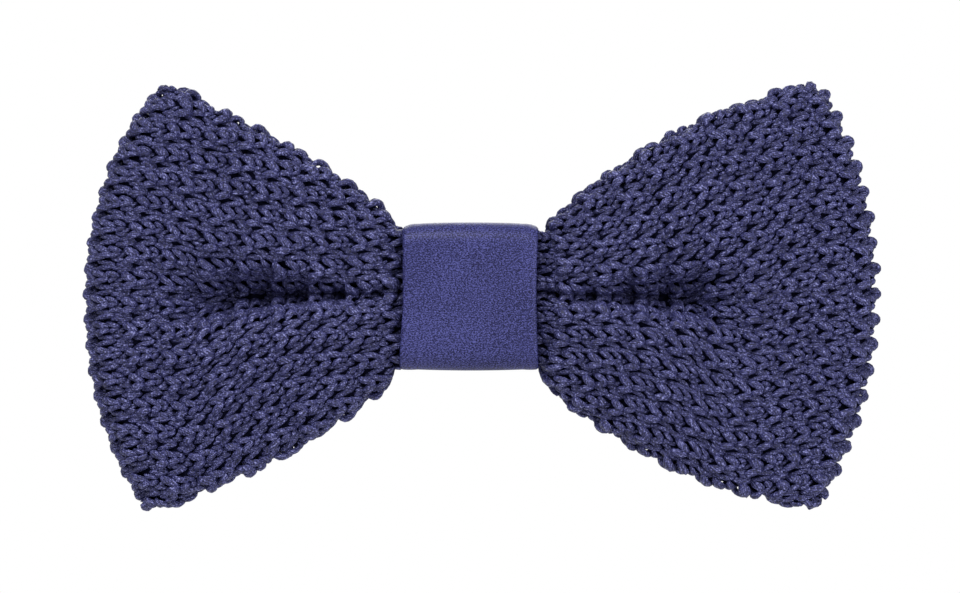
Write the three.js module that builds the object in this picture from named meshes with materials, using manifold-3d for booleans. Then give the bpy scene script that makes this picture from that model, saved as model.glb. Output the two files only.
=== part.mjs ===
// A pre-tied knitted bow tie on an adjustable satin neck band.
// Millimetres, +Z up. The origin is on the axis of the neck, level with the middle of the band.
// The bow faces -Y. Angles round the neck start at the knot and grow towards +X.
import * as THREE from "three";
import { mergeVertices } from "three/addons/utils/BufferGeometryUtils.js";
import Module from "manifold-3d";

const GAP = 0.3;

// Neck band: a satin ribbon on edge round the collar.
const NECK_RADIUS = 60;
const RIBBON_THICKNESS = 0.7;
const RIBBON_WIDTH = 15;
const BAND_RADIUS = NECK_RADIUS + RIBBON_THICKNESS / 2;
const PLY_STEP = RIBBON_THICKNESS + GAP;
const FRONT_HALF_ANGLE = 30;
const LEFT_SPLIT_ANGLE = 44;
const SLIDER_ANGLE = -138;
const HOOK_FOLD_ANGLE = -165;
const EYE_FOLD_ANGLE = 164;

// Slide adjuster, hook and eye: stamped plates with slots for the ribbon.
const PLATE_THICKNESS = 1.2;
const BAR = 1.6;
const PLATE_HEIGHT = 19.4;
const SLOT_HEIGHT = RIBBON_WIDTH + 0.8;
const SLIDER_SLOT = 3.7;
const FOLD_RADIUS = 1.65;
const RIBBON_SLOT = 3.2;
const HOOK_SLOT = 3.4;
const HOOK_SLOT_HEIGHT = 10;
const TONGUE_WIDTH = 7;
const TONGUE_LENGTH = 8;
const TONGUE_RETURN = 5;
const PLATE_CORNER = 2.2;
const SLOT_CORNER = 0.6;
const HOOK_BEND = 1.5;
const SLIDER_LENGTH = 3 * BAR + 2 * SLIDER_SLOT;
const SLIDER_RUN = 15;
const SLIDER_RADIUS = BAND_RADIUS + PLATE_THICKNESS / 2 + GAP + RIBBON_THICKNESS / 2;
const FOLD_OPENING = 8;
const EYE_RETURN = 14;

// Bow: one knitted strip folded into two wings.
const BOW_HALF_WIDTH = 60;
const BOW_CORNER_X = 49.5;
const BOW_HALF_HEIGHT = 32.3;
const KNIT_THICKNESS = 2.2;
const BOW_PLANE = -68.1;
const WING_HALF_GAP = 4.2;
const FOLD_HALF_GAP = 2.9;
const PINCH_HALF_HEIGHT = 8.4;
const PINCH_HALF_GAP = 2.6;
const PINCH_THICKNESS = 4.6;

// Knot: the satin wrap round the pinched bow and over the neck band.
const WRAP_WIDTH = 20.7;
const WRAP_HALF_HEIGHT = 11;
const WRAP_THICKNESS = 0.8;
const WRAP_FRONT = -76;
const WRAP_BACK = -58.2;
const CHANNEL_CLEARANCE = 0.35;

const THREAD_RADIUS = 0.25;

const LABEL_ANGLE = 112;
const LABEL_HALF_ANGLE = 12;
const LABEL_THICKNESS = 0.4;
const LABEL_WIDTH = 11;

const SATIN = { color: 0x35356a, roughness: 0.5, metalness: 0 };
const KNIT = { color: 0x303055, roughness: 0.85, metalness: 0 };
const THREAD = { color: 0x2a2a52, roughness: 0.7, metalness: 0 };
const METAL = { color: 0xc9cacc, roughness: 0.25, metalness: 1 };
const LABEL_CLOTH = { color: 0xe8e6df, roughness: 0.6, metalness: 0 };

const wasm = await Module();
wasm.setup();

const group = new THREE.Group();

function add(name, geometry, finish) {
  const mesh = new THREE.Mesh(geometry, new THREE.MeshStandardMaterial(finish));
  mesh.name = name;
  group.add(mesh);
  return mesh;
}

function solid(geometry) {
  const bare = geometry.clone();
  bare.deleteAttribute("normal");
  bare.deleteAttribute("uv");
  const merged = mergeVertices(bare, 1e-4);
  const vertProperties = new Float32Array(merged.attributes.position.array);
  const triVerts = new Uint32Array(merged.index.array);
  return new wasm.Manifold(new wasm.Mesh({ numProp: 3, vertProperties, triVerts }));
}

function geometryOf(body) {
  const mesh = body.getMesh();
  const geometry = new THREE.BufferGeometry();
  geometry.setAttribute("position", new THREE.BufferAttribute(mesh.vertProperties, 3));
  geometry.setIndex(new THREE.BufferAttribute(mesh.triVerts, 1));
  geometry.computeVertexNormals();
  return geometry;
}

// ---- places round the neck ----

const radians = THREE.MathUtils.degToRad;
const degreesAlong = (length) => THREE.MathUtils.radToDeg(length / BAND_RADIUS);
const mix = THREE.MathUtils.lerp;
const ease = (x, from, to) => THREE.MathUtils.smoothstep(x, from, to);

function polar(angle, radius) {
  const a = radians(angle);
  return new THREE.Vector2(radius * Math.sin(a), -radius * Math.cos(a));
}

// Turns a geometry made round the origin, with X along the band and -Y outwards, to its place on the band.
function onBand(mesh, angle, radius) {
  const place = polar(angle, radius);
  mesh.position.set(place.x, place.y, 0);
  mesh.rotation.z = radians(angle);
  return mesh;
}

// ---- ribbons: a flat path in the XY plane, given a thickness and raised along Z ----

function ribbon(path, thickness, width) {
  const normals = path.map((p, i) => {
    const before = path[Math.max(i - 1, 0)];
    const after = path[Math.min(i + 1, path.length - 1)];
    const along = after.clone().sub(before).normalize();
    return new THREE.Vector2(-along.y, along.x);
  });
  const side = (i, s) => path[i].clone().addScaledVector(normals[i], (s * thickness) / 2);
  const outline = path.map((p, i) => side(i, 1));
  outline.push(...path.map((p, i) => side(i, -1)).reverse());
  const shape = new THREE.Shape(outline);
  const geometry = new THREE.ExtrudeGeometry(shape, { depth: width, bevelEnabled: false });
  return geometry.translate(0, 0, -width / 2);
}

function arcPath(from, to, radius, stepLength = 3) {
  const steps = Math.max(2, Math.ceil(radians(Math.abs(to - from)) * radius / stepLength));
  return Array.from({ length: steps + 1 }, (unused, i) => polar(mix(from, to, i / steps), radius));
}

// A run of ribbon whose radius follows a function of the length from a middle angle.
function wavePath(middle, fromLength, toLength, radiusAt, stepLength = 0.5) {
  const steps = Math.ceil(Math.abs(toLength - fromLength) / stepLength);
  return Array.from({ length: steps + 1 }, (unused, i) => {
    const s = mix(fromLength, toLength, i / steps);
    return polar(middle + degreesAlong(s), radiusAt(s));
  });
}

// Half a turn round a bar at an angle, from the inner ply to the outer, on the side that sign points to.
function turnPath(angle, radius, sign, steps = 12) {
  const centre = polar(angle, radius);
  const along = polar(angle + 90, 1);
  const outwards = polar(angle, 1);
  return Array.from({ length: steps + 1 }, (unused, i) => {
    const turn = Math.PI * (i / steps - 0.5);
    return centre
      .clone()
      .addScaledVector(outwards, FOLD_RADIUS * Math.sin(turn))
      .addScaledVector(along, sign * FOLD_RADIUS * Math.cos(turn));
  });
}

// ---- threads ----

function thread(points, radius, steps, sides = 5) {
  const section = new THREE.Shape();
  for (let i = 0; i < sides; i++) {
    const a = (2 * Math.PI * i) / sides;
    const place = [radius * Math.cos(a), radius * Math.sin(a)];
    if (i === 0) section.moveTo(...place);
    else section.lineTo(...place);
  }
  section.closePath();
  const curve = new THREE.CatmullRomCurve3(points);
  return new THREE.ExtrudeGeometry(section, { steps, extrudePath: curve, curveSegments: 1, bevelEnabled: false });
}

// A wavy row of stitches that climbs across the band at one angle.
function stitchRow(angle, radius, halfHeight, waves, swing = 0.8) {
  const count = waves * 4;
  return Array.from({ length: count + 1 }, (unused, i) => {
    const t = i / count;
    const shift = degreesAlong(swing * Math.sin(2 * Math.PI * waves * t));
    const p = polar(angle + shift, radius);
    return new THREE.Vector3(p.x, p.y, mix(-halfHeight, halfHeight, t));
  });
}

function addStitchRow(name, angle, radius, halfHeight, waves) {
  const points = stitchRow(angle, radius, halfHeight, waves);
  add(name, thread(points, THREAD_RADIUS, waves * 8), THREAD);
}

// ---- slotted plates ----

function roundedRectangle(path, x, y, width, height, radius) {
  const [left, right, low, high] = [x - width / 2, x + width / 2, y - height / 2, y + height / 2];
  path.moveTo(left + radius, low);
  path.lineTo(right - radius, low);
  path.absarc(right - radius, low + radius, radius, -Math.PI / 2, 0);
  path.lineTo(right, high - radius);
  path.absarc(right - radius, high - radius, radius, 0, Math.PI / 2);
  path.lineTo(left + radius, high);
  path.absarc(left + radius, high - radius, radius, Math.PI / 2, Math.PI);
  path.lineTo(left, low + radius);
  path.absarc(left + radius, low + radius, radius, Math.PI, 1.5 * Math.PI);
  return path;
}

// A plate across the band, with slots given by their middle and size along the band.
function slottedPlate(centre, length, slots) {
  const shape = roundedRectangle(new THREE.Shape(), centre, 0, length, PLATE_HEIGHT, PLATE_CORNER);
  for (const [x, width, height] of slots) {
    shape.holes.push(roundedRectangle(new THREE.Path(), x, 0, width, height, SLOT_CORNER));
  }
  const options = { depth: PLATE_THICKNESS, bevelEnabled: false, curveSegments: 5 };
  const geometry = new THREE.ExtrudeGeometry(shape, options);
  return geometry.translate(0, 0, -PLATE_THICKNESS / 2).rotateX(Math.PI / 2);
}

// ---- the bow ----

function bowHalfHeight(x) {
  const reach = Math.abs(x);
  const inKnot = mix(PINCH_HALF_HEIGHT, 9.7, ease(reach, 4, 10.3));
  if (reach < 10.4) return inKnot;
  const u = Math.min((reach - 10.4) / (BOW_CORNER_X - 10.4), 1);
  return mix(9.7, BOW_HALF_HEIGHT, 1 - (1 - u) ** 1.5);
}

const bowEdge = (v) => mix(BOW_CORNER_X, BOW_HALF_WIDTH, 1 - Math.abs(v) ** 2.8);

function bowThickness(x) {
  return mix(PINCH_THICKNESS, KNIT_THICKNESS, ease(Math.abs(x), 6, 20));
}

function bowHalfGap(x, edge) {
  const reach = Math.abs(x);
  const puff = mix(PINCH_HALF_GAP, WING_HALF_GAP, ease(reach, 8, 28));
  return mix(puff, FOLD_HALF_GAP, ease(reach, 34, edge - FOLD_HALF_GAP));
}

// One step of the strip's path at height v: the middle of the cloth, and the way its outer face looks.
function bowStations(v) {
  const edge = bowEdge(v) - KNIT_THICKNESS / 2;
  const foldAt = edge - FOLD_HALF_GAP;
  const flat = (n, toX, side) =>
    Array.from({ length: n }, (unused, i) => {
      const x = mix(toX, foldAt, i / n);
      return { x, y: BOW_PLANE + side * bowHalfGap(x, edge), nx: 0, ny: side };
    });
  const fold = Array.from({ length: 7 }, (unused, i) => {
    const turn = Math.PI * (i / 6 - 0.5);
    const [c, s] = [Math.cos(turn), Math.sin(turn)];
    return { x: foldAt + FOLD_HALF_GAP * c, y: BOW_PLANE + FOLD_HALF_GAP * s, nx: c, ny: s };
  });
  const rightHalf = [...flat(13, 0, -1), ...fold, ...flat(13, 0.5, 1).reverse()];
  const mirrored = rightHalf.slice(1).map((p) => ({ ...p, x: -p.x, nx: -p.nx }));
  return [...mirrored.reverse(), ...rightHalf];
}

function bowPoint(station, v, face) {
  const half = (face * bowThickness(station.x)) / 2;
  const x = station.x + station.nx * half;
  return [x, station.y + station.ny * half, v * bowHalfHeight(station.x)];
}

// A closed sheet from two grids of points that face each other.
function closedSheet(outer, inner) {
  const [rows, columns] = [outer.length, outer[0].length];
  const positions = [...outer.flat(), ...inner.flat()].flat();
  const at = (face, i, j) => (face * rows + i) * columns + j;
  const index = [];
  const quad = (a, b, c, d) => index.push(a, b, c, a, c, d);
  for (let i = 0; i + 1 < rows; i++) {
    for (let j = 0; j + 1 < columns; j++) {
      quad(at(0, i, j), at(0, i, j + 1), at(0, i + 1, j + 1), at(0, i + 1, j));
      quad(at(1, i, j), at(1, i + 1, j), at(1, i + 1, j + 1), at(1, i, j + 1));
    }
    quad(at(0, i, 0), at(0, i + 1, 0), at(1, i + 1, 0), at(1, i, 0));
    quad(at(0, i, columns - 1), at(1, i, columns - 1), at(1, i + 1, columns - 1), at(0, i + 1, columns - 1));
  }
  for (let j = 0; j + 1 < columns; j++) {
    quad(at(0, 0, j), at(1, 0, j), at(1, 0, j + 1), at(0, 0, j + 1));
    quad(at(0, rows - 1, j), at(0, rows - 1, j + 1), at(1, rows - 1, j + 1), at(1, rows - 1, j));
  }
  const geometry = new THREE.BufferGeometry();
  geometry.setAttribute("position", new THREE.Float32BufferAttribute(positions, 3));
  geometry.setIndex(index);
  geometry.computeVertexNormals();
  return geometry;
}

// Rows of the strip lie closer together towards its edges.
const BOW_ROW_END = Math.sin((Math.PI * 5) / 11);

function addBow() {
  const heights = Array.from({ length: 11 }, (unused, i) => Math.sin((Math.PI * (i - 5)) / 11) / BOW_ROW_END);
  const grid = (face) => heights.map((v) => bowStations(v).map((station) => bowPoint(station, v, face)));
  add("bow_loop", closedSheet(grid(1), grid(-1)), KNIT);

  const seamY = BOW_PLANE + PINCH_HALF_GAP + PINCH_THICKNESS / 2 + GAP + THREAD_RADIUS;
  const seam = Array.from({ length: 33 }, (unused, i) => {
    const t = i / 32;
    return new THREE.Vector3(1.2 * Math.sin(8 * Math.PI * t), seamY, mix(-6, 6, t));
  });
  add("bow_end_seam", thread(seam, THREAD_RADIUS, 36), THREAD);
}

// Winding thread that gathers the strip: a helix along X with a squared section.
function addPinchThread() {
  const turns = 4;
  const perTurn = 20;
  const [depth, height] = [6.5, 9.4];
  const squared = (w) => Math.sign(w) * Math.abs(w) ** 0.4;
  const points = Array.from({ length: turns * perTurn + 1 }, (unused, i) => {
    const a = (2 * Math.PI * i) / perTurn;
    const x = mix(-2.2, 2.2, i / (turns * perTurn));
    return new THREE.Vector3(x, BOW_PLANE + depth * squared(Math.cos(a)), height * squared(Math.sin(a)));
  });
  add("pinch_thread", thread(points, THREAD_RADIUS, turns * perTurn), THREAD);
}

// ---- the knot ----

function addKnotWrap() {
  const [front, back] = [WRAP_FRONT, WRAP_BACK];
  const section = roundedRectangle(new THREE.Shape(), (front + back) / 2, 0, back - front, 2 * WRAP_HALF_HEIGHT, 3);
  const hollowFront = front + WRAP_THICKNESS;
  const hollowBack = -(NECK_RADIUS - CHANNEL_CLEARANCE);
  const hollowHeight = 2 * (WRAP_HALF_HEIGHT - WRAP_THICKNESS);
  const middle = (hollowFront + hollowBack) / 2;
  section.holes.push(
    roundedRectangle(new THREE.Path(), middle, 0, hollowBack - hollowFront, hollowHeight, 2.2),
  );
  // The section lies in the YZ plane and is swept along X.
  const swept = new THREE.ExtrudeGeometry(section, { depth: WRAP_WIDTH, bevelEnabled: false, curveSegments: 6 });
  const turn = new THREE.Matrix4().makeBasis(
    new THREE.Vector3(0, 1, 0),
    new THREE.Vector3(0, 0, 1),
    new THREE.Vector3(1, 0, 0),
  );
  swept.translate(0, 0, -WRAP_WIDTH / 2).applyMatrix4(turn);

  const [low, high] = [NECK_RADIUS - CHANNEL_CLEARANCE, NECK_RADIUS + RIBBON_THICKNESS + CHANNEL_CLEARANCE];
  const halfChannel = RIBBON_WIDTH / 2 + CHANNEL_CLEARANCE;
  const profile = [
    [low, -halfChannel],
    [high, -halfChannel],
    [high, halfChannel],
    [low, halfChannel],
    [low, -halfChannel],
  ].map(([r, z]) => new THREE.Vector2(r, z));
  const channel = new THREE.LatheGeometry(profile, 180).rotateX(Math.PI / 2);
  add("knot_wrap", geometryOf(solid(swept).subtract(solid(channel))), SATIN);

  const seam = Array.from({ length: 41 }, (unused, i) => {
    const t = i / 40;
    const z = -7.6 + 0.7 * Math.sin(10 * Math.PI * t);
    return new THREE.Vector3(mix(-8, 8, t), WRAP_BACK + GAP + THREAD_RADIUS, z);
  });
  add("knot_wrap_seam", thread(seam, THREAD_RADIUS, 44), THREAD);
}

// ---- the neck band ----

const HALF_BUTT = degreesAlong(GAP / 2);
const SLIDER_FRONT_END = SLIDER_ANGLE + degreesAlong(SLIDER_RUN / 2);
const SLIDER_REAR_END = SLIDER_ANGLE - degreesAlong(SLIDER_RUN / 2);
const HOOK_PLY_END = HOOK_FOLD_ANGLE + degreesAlong(FOLD_OPENING);

function addRibbon(name, path) {
  add(name, ribbon(path, RIBBON_THICKNESS, RIBBON_WIDTH), SATIN);
}

// A plain run of ribbon between two angles, held back at both ends by half a butt gap.
function addRun(name, from, to, radius) {
  addRibbon(name, arcPath(from + HALF_BUTT, to - HALF_BUTT, radius));
}

function addPlainBand() {
  addRun("neck_band_front", -FRONT_HALF_ANGLE, FRONT_HALF_ANGLE, BAND_RADIUS);
  addRun("neck_band_left", -LEFT_SPLIT_ANGLE, -FRONT_HALF_ANGLE, BAND_RADIUS);
  addRun("neck_band_left_rear", SLIDER_FRONT_END, -LEFT_SPLIT_ANGLE, BAND_RADIUS);
  addRun("hook_ply_outer", HOOK_PLY_END, SLIDER_REAR_END, BAND_RADIUS);
  addRun("hook_ply_inner", HOOK_PLY_END, SLIDER_REAR_END, BAND_RADIUS - PLY_STEP);
}

// Half the distance between two plies that open out to pass round a bar.
const openPly = (distance) => mix(FOLD_RADIUS, PLY_STEP / 2, ease(distance, 0, FOLD_OPENING));

// A ply that runs up to a fold round a bar, the fold, and the other ply back from it.
function foldPath(angle, radius, sign, innerLength, outerLength) {
  const start = sign * 0.4;
  const inner = wavePath(angle, -sign * innerLength, -start, (s) => radius - openPly(Math.abs(s)), 1);
  const outer = wavePath(angle, -start, -sign * outerLength, (s) => radius + openPly(Math.abs(s)), 1);
  return [...inner, ...turnPath(angle, radius, sign), ...outer];
}

function addEyeEnd() {
  const middleRadius = BAND_RADIUS + PLY_STEP / 2;
  const plainEnd = EYE_FOLD_ANGLE - degreesAlong(FOLD_OPENING);
  const plain = arcPath(FRONT_HALF_ANGLE + HALF_BUTT, plainEnd, BAND_RADIUS);
  const fold = foldPath(EYE_FOLD_ANGLE, middleRadius, 1, FOLD_OPENING, EYE_RETURN);
  addRibbon("neck_band_right", [...plain, ...fold.slice(1)]);
  const tackAngle = EYE_FOLD_ANGLE - degreesAlong(FOLD_OPENING + 3);
  const tackRadius = middleRadius + PLY_STEP / 2 + RIBBON_THICKNESS / 2 + GAP + THREAD_RADIUS;
  addStitchRow("eye_bar_tack", tackAngle, tackRadius, 6, 6);
}

function addHookFold() {
  const reach = FOLD_OPENING - GAP / 2;
  addRibbon("neck_band_hook_fold", foldPath(HOOK_FOLD_ANGLE, BAND_RADIUS - PLY_STEP / 2, -1, reach, reach));
}

// ---- slide adjuster ----

function addSlider() {
  const slotMiddle = (BAR + SLIDER_SLOT) / 2;
  const slots = [-slotMiddle, slotMiddle].map((x) => [x, SLIDER_SLOT, SLOT_HEIGHT]);
  onBand(add("slide_adjuster", slottedPlate(0, SLIDER_LENGTH, slots), METAL), SLIDER_ANGLE, SLIDER_RADIUS);

  // The band rises over the middle bar, and runs inside the two end bars.
  const top = SLIDER_RADIUS + FOLD_RADIUS + PLY_STEP;
  const radiusAt = (s) => mix(top, BAND_RADIUS, ease(Math.abs(s), 1.1, 4.4));
  const half = SLIDER_RUN / 2 - GAP / 2;
  addRibbon("neck_band_slider_run", wavePath(SLIDER_ANGLE, -half, half, radiusAt, 0.6));
}

// The ribbon's end comes from the hook inside the run, and goes round the middle bar, where it is sewn.
function addSewnEnd() {
  const innerRadius = BAND_RADIUS - PLY_STEP;
  const underBar = SLIDER_RADIUS - FOLD_RADIUS;
  const radiusAt = (s) => mix(underBar, innerRadius, ease(-s, 0.3, 4.2));
  const approach = wavePath(SLIDER_ANGLE, -SLIDER_RUN / 2 + GAP / 2, 0, radiusAt, 0.5);
  const centre = polar(SLIDER_ANGLE, SLIDER_RADIUS);
  const along = polar(SLIDER_ANGLE + 90, 1);
  const outwards = polar(SLIDER_ANGLE, 1);
  const loop = Array.from({ length: 20 }, (unused, i) => {
    const turn = radians(mix(-80, 205, i / 19));
    return centre
      .clone()
      .addScaledVector(along, FOLD_RADIUS * Math.cos(turn))
      .addScaledVector(outwards, FOLD_RADIUS * Math.sin(turn));
  });
  addRibbon("neck_band_sewn_end", [...approach, ...loop]);
  const tackRadius = innerRadius - RIBBON_THICKNESS / 2 - GAP - THREAD_RADIUS;
  addStitchRow("slider_bar_tack", SLIDER_ANGLE - degreesAlong(3.2), tackRadius, 6, 6);
}

// ---- hook and eye ----

function addEye() {
  const length = 3 * BAR + RIBBON_SLOT + HOOK_SLOT;
  const ribbonSlotX = BAR / 2 + RIBBON_SLOT / 2;
  const hookSlotX = ribbonSlotX + RIBBON_SLOT / 2 + BAR + HOOK_SLOT / 2;
  const slots = [
    [ribbonSlotX, RIBBON_SLOT, SLOT_HEIGHT],
    [hookSlotX, HOOK_SLOT, HOOK_SLOT_HEIGHT],
  ];
  // The bar at X = 0 is the one inside the ribbon's fold.
  const plate = slottedPlate(length / 2 - BAR / 2, length, slots);
  onBand(add("eye", plate, METAL), EYE_FOLD_ANGLE, BAND_RADIUS + PLY_STEP / 2);
}

// A slotted plate with a tongue that turns back outwards.
function addHook() {
  const length = 2 * BAR + RIBBON_SLOT;
  const slotX = -(BAR / 2 + RIBBON_SLOT / 2);
  const plate = slottedPlate(BAR / 2 - length / 2, length, [[slotX, RIBBON_SLOT, SLOT_HEIGHT]]);
  const root = -(BAR + RIBBON_SLOT);
  const bendX = root - TONGUE_LENGTH;
  const bend = Array.from({ length: 9 }, (unused, i) => {
    const turn = Math.PI * (i / 8 + 0.5);
    return new THREE.Vector2(bendX + HOOK_BEND * Math.cos(turn), HOOK_BEND * (Math.sin(turn) - 1));
  });
  const tip = new THREE.Vector2(bendX + TONGUE_RETURN, -2 * HOOK_BEND - 0.6);
  const path = [new THREE.Vector2(root, 0), ...bend, tip];
  const tongue = ribbon(path, PLATE_THICKNESS, TONGUE_WIDTH);
  const geometry = geometryOf(solid(plate).add(solid(tongue)));
  onBand(add("hook", geometry, METAL), HOOK_FOLD_ANGLE, BAND_RADIUS - PLY_STEP / 2);
}

// ---- fibre label, sewn to the inside of the band ----

function addLabel() {
  const radius = NECK_RADIUS - GAP - LABEL_THICKNESS / 2;
  const [from, to] = [LABEL_ANGLE - LABEL_HALF_ANGLE, LABEL_ANGLE + LABEL_HALF_ANGLE];
  add("fibre_label", ribbon(arcPath(from, to, radius), LABEL_THICKNESS, LABEL_WIDTH), LABEL_CLOTH);
  const stitchRadius = radius - LABEL_THICKNESS / 2 - GAP - THREAD_RADIUS;
  addStitchRow("label_stitch_front", from + 1.4, stitchRadius, LABEL_WIDTH / 2 - 1, 4);
  addStitchRow("label_stitch_rear", to - 1.4, stitchRadius, LABEL_WIDTH / 2 - 1, 4);
}

addBow();
addPinchThread();
addKnotWrap();
addPlainBand();
addEyeEnd();
addHookFold();
addSlider();
addSewnEnd();
addEye();
addHook();
addLabel();

export default group;
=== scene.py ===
import math

import bmesh
import bpy
import numpy as np
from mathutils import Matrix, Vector


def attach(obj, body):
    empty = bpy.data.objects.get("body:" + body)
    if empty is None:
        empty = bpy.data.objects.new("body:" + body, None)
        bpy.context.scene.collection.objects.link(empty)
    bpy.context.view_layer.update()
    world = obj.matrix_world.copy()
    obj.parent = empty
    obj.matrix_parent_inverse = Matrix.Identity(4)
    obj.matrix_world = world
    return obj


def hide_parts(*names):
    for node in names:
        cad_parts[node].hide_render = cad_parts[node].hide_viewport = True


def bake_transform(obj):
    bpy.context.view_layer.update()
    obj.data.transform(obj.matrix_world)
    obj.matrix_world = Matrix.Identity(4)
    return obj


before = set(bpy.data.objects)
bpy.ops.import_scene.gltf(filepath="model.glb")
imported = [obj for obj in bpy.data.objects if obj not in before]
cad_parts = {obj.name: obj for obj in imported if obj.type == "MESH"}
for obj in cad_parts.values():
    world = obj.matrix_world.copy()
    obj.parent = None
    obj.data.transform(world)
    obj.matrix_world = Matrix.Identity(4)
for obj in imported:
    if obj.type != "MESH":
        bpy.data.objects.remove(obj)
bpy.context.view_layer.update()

MM = 0.001
SEED = 7

# The bow, in millimetres, in the CAD's frame: its front faces -Y. Left and right are the viewer's.
BOW_PLANE = -68.1
OUTER_X = 59.8
HALF_HEIGHT = 31.4
SIDES = {"right": 1.0, "left": -1.0}
# Where each wing comes out of the knot, and the height of the pinch inside it.
WING_START = {"right": 8.95, "left": 11.75}
PINCH_HALF_HEIGHT = 8.6
PINCH_LEAD = 1.6
PINCH_RUN = 5.0
# The knitted strip of one wing: its front, the outer fold and its back.
FOLD_RADIUS = 2.7
FOLD_LENGTH = math.pi * (FOLD_RADIUS + 0.7)
ROW_LENGTH = 50.0
FOLD_MIDDLE = ROW_LENGTH + FOLD_LENGTH / 2
STRIP = 2 * ROW_LENGTH + FOLD_LENGTH
# The outline of each quarter of the bow: half height at the knot, how straight it is, place of its
# corner, how square the outer edge is there, and how far the tip flares.
OUTLINE_START = 10.4
EDGE_SLACK = 0.5
QUARTERS = {
    ("right", 1): (10.3, 0.22, 52.3, 2.2, 2.5),
    ("right", -1): (13.0, 0.20, 51.6, 2.1, 1.0),
    ("left", 1): (9.1, 0.55, 50.1, 2.1, 4.8),
    ("left", -1): (9.6, 0.36, 51.6, 2.3, 3.0),
}
# Distance from the knot's edge, and there: depth of the crease, half width of its mouth, crown,
# half gap between front and back, and how much the rows are squeezed.
SECTIONS = np.array(
    [
        [-12.0, 2.0, 0.8, 0.2, 2.3, 0.86],
        [-6.0, 2.0, 0.8, 0.4, 2.6, 0.86],
        [-0.6, 2.4, 0.8, 0.9, 3.0, 0.86],
        [2.2, 3.6, 0.8, 3.2, 3.1, 0.87],
        [4.5, 5.0, 0.9, 4.1, 3.2, 0.87],
        [10.0, 7.2, 1.1, 4.4, 3.4, 0.90],
        [16.0, 9.4, 1.9, 4.4, 3.4, 0.94],
        [21.0, 10.0, 2.6, 4.1, 3.3, 0.98],
        [25.0, 8.6, 3.0, 3.6, 3.2, 1.0],
        [28.0, 5.6, 3.4, 3.1, 3.2, 1.0],
        [31.0, 2.6, 4.0, 2.8, 3.1, 1.0],
        [36.0, 0.3, 5.0, 2.2, 3.0, 1.0],
        [45.0, 0.0, 5.0, 1.0, 2.8, 1.0],
        [52.0, 0.0, 5.0, 0.2, 2.7, 1.0],
    ]
)
SLIT_POWER = 3
CROWN_POWER = 0.8
# The crease starts and ends at these heights, and levels out before the outer edge.
CREASE_DROP = {"right": (0.5, -1.6), "left": (0.6, -1.0)}
CREASE_RUN = 30.0
CREASE_LEVEL = (40.0, 12.0)
# The share of the crease's depth that takes up width of the strip, and the factor by which each
# wing's crease is drawn in towards the knot.
CREASE_SHARE = 0.5
POCKET_SHRINK = {"right": 1.10, "left": 0.91}
# The pocket's mouth is wider above the crease than below it, between these distances from the knot.
UPPER_MOUTH = 1.6
LOWER_MOUTH = 0.75
MOUTH_OPENS = (3.0, 11.0)
MOUTH_CLOSES = (24.0, 8.0)
# The back layer has a shallow crease and is a little less high, except near the outer edge.
BACK_CREASE = 0.15
BACK_MOUTH = 4.0
BACK_CROWN = 0.8
BACK_CURL = 1.9
BACK_INSET = 1.2
BACK_MEETS_FRONT = (44.0, 10.0)
BACK_SQUEEZE = 0.985
FRONT_CURL_EXTRA = 0.9
LEAST_CURL = 1.5
# How far the yarn stands out of the outer fold, and the least radius of the fold.
YARN_PROUD = 1.2
LEAST_REACH = 0.6

# The knit: one repeat along a row and across it, in millimetres.
REPEAT_LONG = 5.6
REPEAT_WIDE = 3.8
ROWS = 18
HALF_ROWS = ROWS // 2
# The inner cloth that the yarn stands on: how far it lies below the yarn's base, its thickness, how
# far past the bow's middle it starts, and its points along and across the strip.
GROUND_DEPTH = 0.1
GROUND_THICKNESS = 0.6
GROUND_PAST_MIDDLE = 0.15
GROUND_GRID = (121, 145)


def mix(a, b, t):
    return a + (b - a) * t


def smooth(t):
    t = np.clip(t, 0.0, 1.0)
    return t * t * (3.0 - 2.0 * t)


def ramp_up(x, start_and_run):
    """0 up to the start, 1 from the end of the run, and smooth between them."""
    start, run = start_and_run
    return smooth((x - start) / run)


def table_at(x, column):
    return np.interp(x, SECTIONS[:, 0], SECTIONS[:, column])


# ---------------------------------------------------------------- the bow's surface
STATIONS = np.linspace(0.0, 64.0, 129)
ARCS = np.linspace(0.0, 36.0, 289)
FACE_STEPS = 500
CURL_STEPS = 160
CURL_ANGLE = math.pi * 0.95
INSIDE_STEPS = 120
INSIDE_LENGTH = 30.0


def half_section(height, depth, mouth, crown, curl):
    """Half of a layer's section, from the crease over the rolled edge: arc length, z and rise."""
    a = np.linspace(0.0, 1.0, FACE_STEPS)
    angle = a * a * (3 - 2 * a) * math.pi / 2
    z = height * np.sin(angle)
    slit = depth / (1.0 + np.abs(z / mouth) ** SLIT_POWER)
    rise = crown * np.cos(angle) ** CROWN_POWER - slit
    turn = np.linspace(0.0, 1.0, CURL_STEPS)[1:] * CURL_ANGLE
    curl_z = height - curl * (1 - np.cos(turn))
    curl_rise = rise[-1] - curl * np.sin(turn)
    run = np.linspace(0.0, INSIDE_LENGTH, INSIDE_STEPS)[1:]
    inside_z = curl_z[-1] - run
    inside_rise = np.full(len(run), curl_rise[-1])
    slack = np.concatenate([slit, np.zeros(len(turn) + len(run))]) * (1.0 - CREASE_SHARE)
    z = np.concatenate([z, curl_z, inside_z])
    rise = np.concatenate([rise, curl_rise, inside_rise])
    arc = np.concatenate([[0.0], np.cumsum(np.hypot(np.diff(z), np.diff(rise + slack)))])
    return arc, z, rise


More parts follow.
